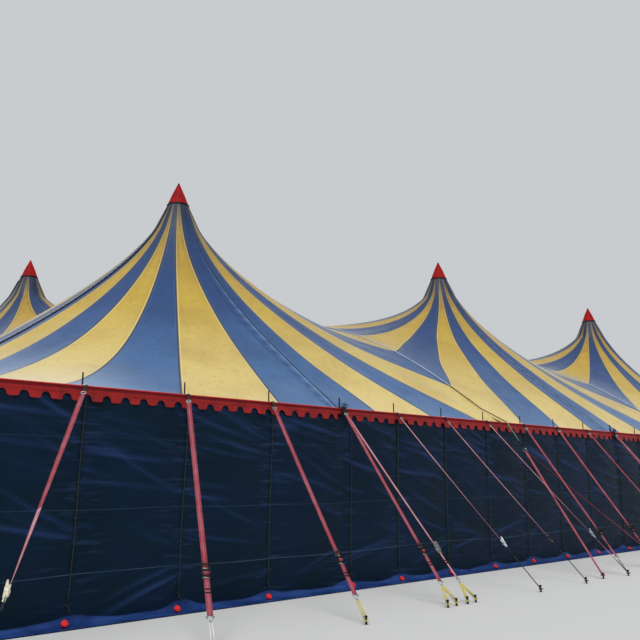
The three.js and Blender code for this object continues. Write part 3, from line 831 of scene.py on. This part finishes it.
def make_hems():
    hems, valances = [], []
    for name, depth, stations, half, _, _, turn in SIDES:
        gaps = [s for s, _, style in stations if style is None]
        if depth == HALF_DEPTH:
            sections, edges = panel_names(name), (-half - 0.05, -BAY, 0.0, BAY, half + 0.05)
        else:
            sections = ("back", "front") if name == "right" else ("front", "back")
            edges = (-half - 0.03, 0.0, half + 0.03)
        for section, start, end in zip(sections, edges, edges[1:]):
            node = [f"valance_{name}"] if section == sections[0] else []
            hems.append(hem(name, section, depth, start, end, 300 + len(hems), turn))
            valances.append(valance(name, section, depth, start, end, gaps, 400 + len(hems), turn, node))
    return hems, valances


hems, valances = make_hems()

# Guys: a ring at the hem, webbing, ratchet, a short strap or a rope, and a stake

STRAP_THICK = 0.005
RATCHET_TILT = math.radians(7)
# Shares of the way down a guy: ratchet, ring below it with and without a short strap, two buckles
RATCHET_AT, SHORT_RING_AT, RING_AT, BUCKLES_AT = 0.763, 0.905, 0.81, (0.817, 0.829)
GUY_TOP = 3.015  # height of the ring at the hem
TAIL_SPREAD = 0.11  # how far two rope tails stand to each side at the ground


def webbing(build, start, end, width, look, twist=(0.0, 0.0), steps=12, sag=0.0):
    path = line(start, end, steps)
    path[:, 2] -= sag * np.sin(np.pi * np.linspace(0, 1, steps))
    w, t = width / 2, STRAP_THICK / 2
    section = [(-w, 0), (-w + t, t), (0, t), (w - t, t), (w, 0), (w - t, -t), (0, -t), (-w + t, -t)]
    turned = twist[0] + (twist[1] - twist[0]) * np.linspace(0, 1, steps) ** 1.5
    sweep(build, path, section, look, twist=turned, seam=[abs(x) for x, _ in section])


def ratchet(build, centre, a, w, n, width, metal, cloth):
    """Two side plates, the wound spool, the lever folded back over them, its grip and two bolts."""
    half = width / 2 + 0.006
    lever = a * math.cos(RATCHET_TILT) - n * math.sin(RATCHET_TILT)
    lever_up = n * math.cos(RATCHET_TILT) + a * math.sin(RATCHET_TILT)
    for side in (-1, 1):
        block(build, centre + w * side * half + n * 0.006, (a, w, n), (0.15, 0.004, 0.032), metal)
        arm = centre + w * side * (half + 0.006) - lever * 0.045 + n * 0.022
        block(build, arm, (lever, w, lever_up), (0.135, 0.004, 0.022), metal)
    bars = [
        (centre - lever * 0.108 + n * 0.022, half + 0.01, 0.011, metal, 10),
        (centre, half + 0.014, 0.012, metal, 10),
        (centre, half - 0.004, 0.025, cloth, 14),
    ]
    bars += [(centre + a * at + n * 0.004, half + 0.006, 0.008, STEEL, 8) for at in (-0.065, 0.065)]
    for middle, reach, radius, look, sides in bars:
        tube(build, line(middle - w * reach, middle + w * reach), radius, look, sides)


def stake(build, at, a):
    """A stake with a wider head at the foot of a guy that runs down along a."""
    foot = at * (1, 1, 0)
    top = foot + (0, 0, STAKE_HEIGHT) - a * (1, 1, 0) * 0.01
    shaft = top - foot
    tube(build, line(foot, top - shaft * 0.15), 0.015, DARK, 12, UPRIGHT)
    tube(build, [top - shaft * 0.2, top - shaft * 0.1, top], 0.024, DARK, 12, UPRIGHT, [0.85, 1.0, 0.8])


def make_guy(build, s, depth, lean, reach, style):
    """One guy: a runs down along it, w across the strap and n out of its face."""
    cloth, width, twist, metal, short, rope, ropes = style
    top = np.array([s + lean * 0.03, -depth - 0.13, GUY_TOP])
    foot = np.array([s + lean, -depth - reach, STRAP_FOOT])
    a = unit(foot - top)
    w = unit(np.cross(a, (0, 0, 1)))
    n = np.cross(w, a)
    length = np.linalg.norm(foot - top)

    def at(share, metres=0.0):
        return top + (foot - top) * (share + metres / length)

    spike = np.array([s, -depth + 0.045, EAVE + 0.035])
    over = np.array([s, -depth - 0.06, EAVE + 0.015])
    hang = top - a * 0.03
    tube(build, [over, hang], 0.013, DARK, 8, w)
    loop(build, (over + hang) / 2, w, unit(hang - over), 0.02, 0.009, DARK, tall=2.0)
    loop(build, top, w, a, 0.034, 0.009, STEEL, tall=0.8)
    loop(build, (spike + over) / 2, ACROSS, UPRIGHT, 0.045, 0.009, STEEL, tall=1.3)
    start, end = at(0.008), at(RATCHET_AT, -0.06)
    # The twisted strap changes to the paler webbing halfway down, as a painted highlight where its face turns
    # up to the sky
    if style is TWISTED:
        webbing(build, start, at(0.5), width, cloth, (0.0, twist * 0.54))
        webbing(build, at(0.5), end, width, PALE_STRAP, (twist * 0.54, twist))
    else:
        webbing(build, start, end, width, cloth, (0.0, twist), sag=0.012)
    c, s = math.cos(twist), math.sin(twist)
    spool = cloth if metal is DARK else metal
    ratchet(build, at(RATCHET_AT), a, w * c + n * s, n * c - w * s, width, metal, spool)
    ring_at = SHORT_RING_AT if short else RING_AT
    below, ring, tip = at(RATCHET_AT, 0.07), at(ring_at), at(ring_at, 0.075)
    if short:
        webbing(build, below, ring, width, cloth, (twist, 0.0), 6)
        for share in BUCKLES_AT:
            block(build, at(share), (a, w, n), (0.02, width + 0.006, 0.012), BLACK)
        left, right = ring - w * (width / 2 + 0.01), ring + w * (width / 2 + 0.01)
        for start, end in ((left, right), (left, tip), (right, tip)):
            tube(build, line(start, end), 0.006, STEEL, 8)
    else:
        webbing(build, below, ring, width * 0.5, DARK, (twist, 0.0), 4)
    thick = 0.009 if rope in (YELLOW_ROPE, WHITE_ROPE) else 0.008
    for shift in (0.0,) if ropes == 1 else (-TAIL_SPREAD, TAIL_SPREAD):
        peg = foot + np.array([shift, 0.05 * shift, 0.0])
        for side in (0,) if rope is ROPE else (-1, 1):
            twin = w * 0.014 * side
            tube(build, line(tip + twin, peg - a * 0.03 + twin * 1.6), thick, rope, 7)
        loop(build, peg, ACROSS, UPRIGHT, 0.03, thick, rope)
        stake(build, peg, a)


def big_fitting(build, s, depth):
    """The darker cluster of plates and shackles on a big side pole, in the gap of the valance."""
    y = -depth - 0.075
    block(build, (s, y, EAVE - 0.06), np.eye(3), (0.09, 0.012, 0.16), DARK)
    block(build, (s, -depth - 0.02, EAVE + 0.03), np.eye(3), (0.12, 0.13, 0.012), DARK)
    for dx, dz in ((-0.045, 0.07), (0.045, 0.06), (0.0, -0.11), (-0.03, -0.03), (0.035, -0.04)):
        loop(build, (s + dx, y - 0.012, EAVE + dz), ACROSS, (0, 0, 1), 0.028, 0.008, DARK)
    for dx in (-0.05, 0.055):
        low, high = (s + dx, -depth, EAVE + 0.03), (s + dx * 1.5, -depth - 0.02, EAVE + 0.13)
        tube(build, line(low, high), 0.009, DARK, 8, UPRIGHT)


def make_guys():
    for name, depth, stations, _, reach, big_reach, turn in SIDES:
        build = Build()
        for s, leans, style in stations:
            if style is None:
                for lean, own in zip(leans, BIG_STYLES):
                    make_guy(build, s, depth, lean, big_reach, own)
                big_fitting(build, s, depth)
            else:
                make_guy(build, s, depth, leans[0], reach, style)
        build.make(f"guys_{name}", "strap_webbing", f"hem_and_guys_{name}", turn=turn)


make_guys()

# Side poles inside the walls with their spikes, the belt that they hold, and the ropes down the walls


def make_poles():
    for name, depth, stations, half, _, _, turn in SIDES:
        build = Build()
        for s, _, style in stations:
            y = -depth + 0.05
            thick, spike = (0.045, 0.015) if style is None else (0.038, 0.011)
            post(build, s, y, (0.0, EAVE - 0.02), thick, STEEL, 20)
            post(build, s, y, (0.0, 0.012), 0.075, STEEL, 20)
            heights = (EAVE - 0.03, EAVE + SPIKE_RISE - 0.01, EAVE + SPIKE_RISE)
            post(build, s, y, heights, spike, DARK, 10, [1, 1, 0.5])
        edge = half + 0.03 if depth == HALF_DEPTH else half - 0.1
        belt = [(-0.1, 0.0), (-0.1, -0.008), (0.03, -0.008), (0.03, 0.0)]
        path = line((-edge, -depth, EAVE - 0.002), (edge, -depth, EAVE - 0.002))
        sweep(build, path, belt, ROPE, smooth=False)
        build.make(f"poles_{name}", "side_pole_steel", f"side_poles_{name}", turn=turn)


make_poles()

WALL_ROPE_TOP, WALL_ROPE_END = 2.95, 0.25
KNOT_PITCH = 0.3


def rope_lean(z):
    return 0.1 * (1 - z / 3)


def make_wall_ropes():
    """A dark rope down the wall at each pole with a hook at its end, and a red tab on the skirt below it."""
    for name, depth, stations, half, _, _, turn in SIDES:
        build = Build()
        for k, (s, _, style) in enumerate(stations):
            if abs(s) > half - 0.1:  # a corner pole has none
                continue
            s = s + (0.24 if style is None else 0.03)
            z = np.linspace(WALL_ROPE_TOP, WALL_ROPE_END, 18)
            sway = 0.006 * np.sin(z * 3 + np.random.default_rng(900 + k).uniform(0, 6))
            path = np.stack([s + sway - rope_lean(z), np.full_like(z, -depth - 0.03), z], axis=1)
            tube(build, path, 0.008, ROPE, 6, UPRIGHT)
            for at in np.arange(0.45, 2.9, KNOT_PITCH):
                knot = (s - rope_lean(at), -depth - 0.027, at)
                loop(build, knot, ACROSS, (0, 1, 0.5), 0.013, 0.005, ROPE, 4, 6)
            end = np.array([s - 0.09, -depth - 0.035, WALL_ROPE_END])
            loop(build, end, ACROSS, (0, 0, 1), 0.02, 0.007, DARK)
            tube(build, line(end, end + (0.01, -0.05, -0.1)), 0.008, DARK, 7, UPRIGHT)
            tab = np.array([s - 0.2, -depth - 0.2, 0.075])
            facing = unit((0, -0.8, 0.6))
            path = [tab + facing * lift for lift in (-0.03, 0.0, 0.006, 0.01)]
            tube(build, path, 0.048, TAB_RED, 24, ACROSS, [1.0, 1.0, 0.8, 0.3])
        build.make(f"wall_ropes_{name}", "valley_rope", turn=turn)


make_wall_ropes()

# Name and place of each king pole
KING_SPOTS = [
    (f"{row}_{column}", x, y)
    for row, y in (("front", -ROW_HALF), ("back", ROW_HALF))
    for column, x in zip(("left", "middle", "right"), KING_XS)]

# Lacing where two canopy sections meet, and where a seam runs from a corner king pole to the end

# Across the flap: offset, lift, how much its edge wanders, how deep its dimples are and how much painted
# shade they get, and how much painted highlight it gets
FLAP = (
    (-0.2, 0.002, 1.0, 0.0, 0.0), (-0.165, 0.007, 0.8, 0.5, 0.0), (-0.13, 0.010, 0.2, 1.0, 0.0),
    (-0.095, 0.012, 0.0, 0.8, 0.0), (-0.06, 0.016, 0.0, 0.2, 0.3), (-0.02, 0.018, 0.0, 0.0, 1.0),
    (0.02, 0.014, 0.0, 0.0, 0.7), (0.05, 0.003, 0.0, 0.0, 0.0),
)
# Across the flap of an end seam: offset and lift
END_FLAP = ((-0.3, 0.003), (-0.22, 0.014), (-0.12, 0.024), (-0.02, 0.03), (0.02, 0.02), (0.03, 0.003))
END_LACE_PITCH = 0.1
LACE_START = 0.75  # how far from the middle of a king pole the side lacing starts


def side_lacing(name, king_x, king_y):
    """A dimpled flap over the seam, with painted shade in its dimples and a painted highlight on its ridge,
    and a thin dark rope beside it.
    """
    build = Build()
    front = math.copysign(1, king_y)
    across, lift, wander, dimples, painted_shine = np.array(FLAP).T[:, None, :]
    outward = (LACE_START, SIDE_RUN + 0.01, SIDE_RUN + CANOPY_EDGE)
    inward = (-LACE_START, -ROW_HALF + 0.02, ROW_HALF)
    for start, end, limit in (outward, inward):
        run = np.linspace(start, end, 170)[:, None]
        y = king_y + front * run
        grow = np.clip((np.abs(run) - 0.6) / 2.0, 0, 1)
        wave = np.sin(run * 21 + 1.5 * np.sin(run * 2.3)) * grow
        fine = np.sin(run * 67) * grow
        x = king_x + across * (0.35 + 0.65 * grow) + 0.006 * wander * (wave + fine)
        share = np.clip((np.abs(run) - RING) / (limit - RING), 0, 1)
        shift = slide(king_x, king_y, np.abs(run), share)
        base = cloth_detail(run, x - king_x, False)
        x = x + STRIPE_SLIDE * shift
        base = base + sail(x - SAIL_SLIDE * shift, y)
        z = base + lift * (0.5 + 0.5 * grow) - 0.006 * dimples * (wave + 0.5 * fine)
        # Painted shade in the dimples, and a painted highlight on the ridge beside them
        dark = np.clip(0.45 + 0.6 * wave + 0.4 * fine, 0, 1) * dimples * grow
        pale = np.clip(0.7 - 0.4 * wave + 0.2 * fine, 0, 1) * painted_shine * grow
        grid(build, x, y, z, BLUE, front * start > 0, skirt=pale, crest=dark)
        beside = x[:, -1:] + 0.01 + 0.004 * np.sin(run * 5)
        tube(build, np.hstack([beside, y, base[:, -1:] + 0.006]), 0.008, ROPE, 7)
    return build.make(name, "canopy_cloth")


def end_lacing(name, king_x, king_y):
    """The seam from a corner king pole straight to the end: a thick black rope that also stands for the shade
    under the flap's raised edge, and light laces over a flap.
    """
    build = Build()
    side, front = math.copysign(1, king_x), math.copysign(1, king_y)

    def at(run, offset, lift):
        run, offset = np.broadcast_arrays(run, offset)
        x, y = king_x + side * run, king_y + front * offset
        return np.stack([x, y, sail(x, y) + cloth_detail(offset, run, True) + lift], axis=-1)

    run = np.linspace(0.34, END_RUN, 200)
    offset, lift = np.array(END_FLAP).T
    grow = (0.3 + 0.7 * np.clip((run - 0.3) / 1.5, 0, 1))[:, None]
    flap = at(run[:, None], offset * grow, lift * grow + 0.004 * np.sin(run * 31)[:, None])
    build.add(flap, grid_faces(len(run), len(END_FLAP), side * front < 0), BLUE)
    # Painted shade: the black rope is thickened to stand for the shadow gap under the flap's edge as well as
    # for the rope
    tube(build, at(run, 0.03, 0.014), 0.017, BLACK, 8)
    for start in np.arange(0.9, END_RUN - 0.2, END_LACE_PITCH):
        lace = at(start + np.array([0.0, 0.03, 0.06]), [0.0, -0.1, -0.2], np.array([0.036, 0.032, 0.022]))
        tube(build, lace, 0.006, WHITE_ROPE, 5)
    return build.make(name, "canopy_cloth")


def make_lacing():
    made = {}
    for spot, x, y in sorted(KING_SPOTS, key=lambda spot: spot[1]):
        made[spot] = [side_lacing(f"lacing_{spot}", x, y)]
        if x:
            made[spot].append(end_lacing(f"end_lacing_{spot}", x, y))
    return made


lacing = make_lacing()

# King poles, with a black head ring and a bolted foot plate, and the cloth cones over them

HEAD_LOW = CROWN + 0.0006
HEAD_THICK = 0.046
CAP_BASE = CROWN + HEAD_THICK + 0.0009
CAP_TIP = 9.2409
CAP_HEIGHT = CAP_TIP - CAP_BASE
CAP_RIM = 0.262
FOOT_HALF = 0.25
COLLARS = (0.35, 2.9, 5.8)  # heights of the collars on a king pole


def make_king_poles():
    for spot, x, y in KING_SPOTS:
        build = Build()
        post(build, x, y, (0.012, HEAD_LOW + 0.02), 0.1, BLACK, 32)
        for z in COLLARS:
            post(build, x, y, (z - 0.05, z + 0.05), 0.112, BLACK, 32)
        plate = [(x, y, z) for z in (0.0, 0.016, 0.02)]
        square = FOOT_HALF * np.array([(-1, -1), (1, -1), (1, 1), (-1, 1)])
        sweep(build, plate, square, BLACK, UPRIGHT, [1, 1, 0.985], smooth=False)
        for k in range(4):
            angle = math.radians(45 + 90 * k)
            bolt = x + FOOT_HALF * math.cos(angle), y + FOOT_HALF * math.sin(angle)
            post(build, *bolt, (0.018, 0.038), 0.018, STEEL, 6)
            way = np.array([math.cos(angle - 0.785), math.sin(angle - 0.785), 0])
            axes = (way, np.cross((0, 0, 1), way), (0, 0, 1))
            block(build, (x, y, 0.09) + 0.14 * way, axes, (0.12, 0.01, 0.15), BLACK)
        ring = HEAD_LOW + HEAD_THICK * np.array([0.0, 0.15, 0.5, 0.85, 1.0])
        post(build, x, y, ring, 0.279, BLACK, 48, [0.98, 0.995, 1.0, 0.995, 0.98])
        build.make(f"mast_{spot}", "king_pole_steel", f"king_pole_{spot}")


def make_caps():
    heights = np.array([0, 0.01, 0.04, 0.12, 0.25, 0.4, 0.55, 0.7, 0.82, 0.9, 0.94])[:, None]
    radii = CAP_RIM * np.interp(heights, [0, 0.02, 0.5, 0.94], [1.0, 0.985, 0.57, 0.115])
    sides = 64
    angles = np.arange(sides) * 2 * np.pi / sides
    faces = ring_faces(len(heights), sides)
    made = []
    for spot, x, y in KING_SPOTS:
        build = Build()
        r = radii * (1 + 0.02 * np.cos(7 * angles + x) * np.sin(np.pi * heights))
        shape = (x + r * np.cos(angles), y + r * np.sin(angles), CAP_BASE + CAP_HEIGHT * heights)
        build.add(np.stack(np.broadcast_arrays(*shape), axis=2), faces, CAP_RED)
        cone = build.make(f"cap_{spot}", "red_cloth", f"peak_cap_{spot}")
        top = Build()
        knob = [CAP_TIP - drop for drop in (0.085, 0.07, 0.012, 0.0)]
        post(top, x, y, knob, 0.03, BLACK, 20, [0.9, 1.05, 0.95, 0.6])
        made.append((cone, top.make(f"cap_tip_{spot}", "red_cloth")))
    return made


make_king_poles()
caps = make_caps()

# Valley ropes: along the low line between king poles, over both hems, to a turnbuckle, shackle and two straps

VALLEY_THICK = 0.013
PALE_REACH = 8.95  # the rope is pale above this distance from the middle of the tent, and brown below


def make_valley_ropes():
    for name, x in (("left", -BAY / 2), ("right", BAY / 2)):
        build = Build()
        y = np.linspace(-9.6, 9.6, 90)
        path = np.stack([np.full_like(y, x), y, valley_height(y) + 0.02], axis=1)
        overs = [np.array([x, side * (HALF_DEPTH + 0.045), HEM_TOP + 0.026]) for side in (-1, 1)]
        first, *_, last = np.flatnonzero(np.abs(y) < PALE_REACH)
        tube(build, path[first:last + 1], VALLEY_THICK, PALE_ROPE, 8, ACROSS)
        tube(build, [overs[0], *path[:first + 1]], VALLEY_THICK, BROWN_ROPE, 8, ACROSS)
        tube(build, [*path[last:], overs[1]], VALLEY_THICK, BROWN_ROPE, 8, ACROSS)
        for side, over in zip((-1, 1), overs):
            shackle = np.array([x, side * (HALF_DEPTH + SHACKLE_OUT), SHACKLE_HEIGHT])
            bend = over + (0, side * 0.04, -0.03)
            way = unit(shackle - bend)
            eye = shackle - way * 0.26
            tube(build, [over, bend, bend + way * 0.02], VALLEY_THICK, GREEN_ROPE, 8, ACROSS)
            tube(build, line(bend, eye, 4), VALLEY_THICK, GREEN_ROPE, 8, ACROSS)
            tube(build, line(eye + way * 0.03, eye + way * 0.16), 0.021, DARK, 12, ACROSS)
            loop(build, eye + way * 0.01, ACROSS, way, 0.024, 0.008, DARK)
            loop(build, eye + way * 0.19, ACROSS, way, 0.026, 0.009, DARK)
            loop(build, shackle - way * 0.01, np.cross(ACROSS, way), way, 0.032, 0.01, STEEL, tall=1.3)
            for lean in VALLEY_LEANS:
                foot = np.array([x - side * lean, side * (HALF_DEPTH + VALLEY_STRAP_REACH), STRAP_FOOT])
                a = unit(foot - shackle)
                webbing(build, shackle + a * 0.02, foot - a * 0.02, 0.06, STRAP, (0.0, 0.3), 14, 0.015)
                loop(build, foot - a * 0.02, ACROSS, UPRIGHT, 0.03, 0.012, STRAP)
                stake(build, foot, a)
        nodes = [f"valley_rope_{row}_{name}" for row in ("front", "back")]
        build.make(f"valley_line_{name}", "valley_rope", *nodes)


make_valley_ropes()

# Lengths of the canopy cloth along the membrane, computed and not kept


def girth(x, y):
    points = np.stack(np.broadcast_arrays(x, y, sail(x, y)), axis=-1)
    return float(np.linalg.norm(np.diff(points, axis=0), axis=1).sum())


def declare_sheets():
    steps = 200
    bay = np.full(steps, BAY)
    outer = girth(bay, np.linspace(ROW_HALF + RING, HALF_DEPTH + CANOPY_EDGE, steps))
    inner = girth(bay, np.linspace(0, ROW_HALF - RING, steps))
    row = np.full(steps, ROW_HALF)
    bay_wide = girth(np.linspace(RING, BAY - RING, steps), row)
    end_wide = girth(np.linspace(BAY + RING, BAY + END_WIDTH, steps), row)


declare_sheets()

# Floor, light and the end of the script


def make_stage():
    mesh = bpy.data.meshes.new("floor")
    far = 400.0
    mesh.from_pydata([(-far, -far, 0), (far, -far, 0), (far, far, 0), (-far, far, 0)], [], [(0, 1, 2, 3)])
    look = bpy.data.materials.new("floor")
    look.use_nodes = True
    shader = look.node_tree.nodes["Principled BSDF"]
    shader.inputs["Base Color"].default_value = (0.5, 0.5, 0.49, 1)
    shader.inputs["Roughness"].default_value = 0.9
    mesh.materials.append(look)
    floor = scene_object("floor", mesh)
    world = bpy.data.worlds.new("studio")
    bpy.context.scene.world = world
    world.use_nodes = True
    background = world.node_tree.nodes["Background"]
    background.inputs["Color"].default_value = (0.88, 0.91, 0.94, 1)
    background.inputs["Strength"].default_value = 0.66
    sun = bpy.data.lights.new("soft light", "SUN")
    sun.energy = 2.5
    sun.angle = math.radians(38)
    scene_object("soft light", sun).rotation_euler = (math.radians(32), 0, math.radians(-48))
    bpy.context.scene.view_settings.view_transform = "Standard"


make_stage()
